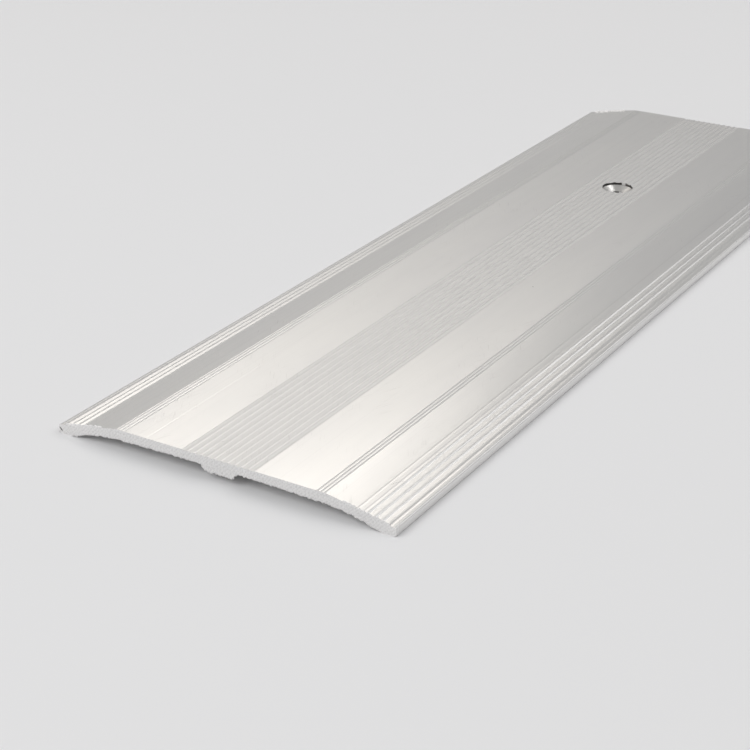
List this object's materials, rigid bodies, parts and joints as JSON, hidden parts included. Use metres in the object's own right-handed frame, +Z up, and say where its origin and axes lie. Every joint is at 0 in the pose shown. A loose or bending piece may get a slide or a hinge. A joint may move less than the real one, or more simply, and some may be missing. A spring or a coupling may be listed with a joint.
{
  "type": "threshold strip",
  "caption": "Length of low arched aluminium door threshold with a ribbed middle band, grooved ramps along both edges and a countersunk screw hole on the centre line.",
  "frame": {"origin": "centre of the rectangle that the strip covers on the floor, at floor level", "axes": "+X along the strip towards the end nearest the screw hole, +Y across its width, +Z up"},
  "size_m": [0.315, 0.1, 0.006],
  "materials": {
    "mill_finish_aluminium": "mill finish with fine die lines, sawn ends"
  },
  "bodies": {
    "root": {"threshold_profile": "mill_finish_aluminium"}
  },
  "joints": []
}
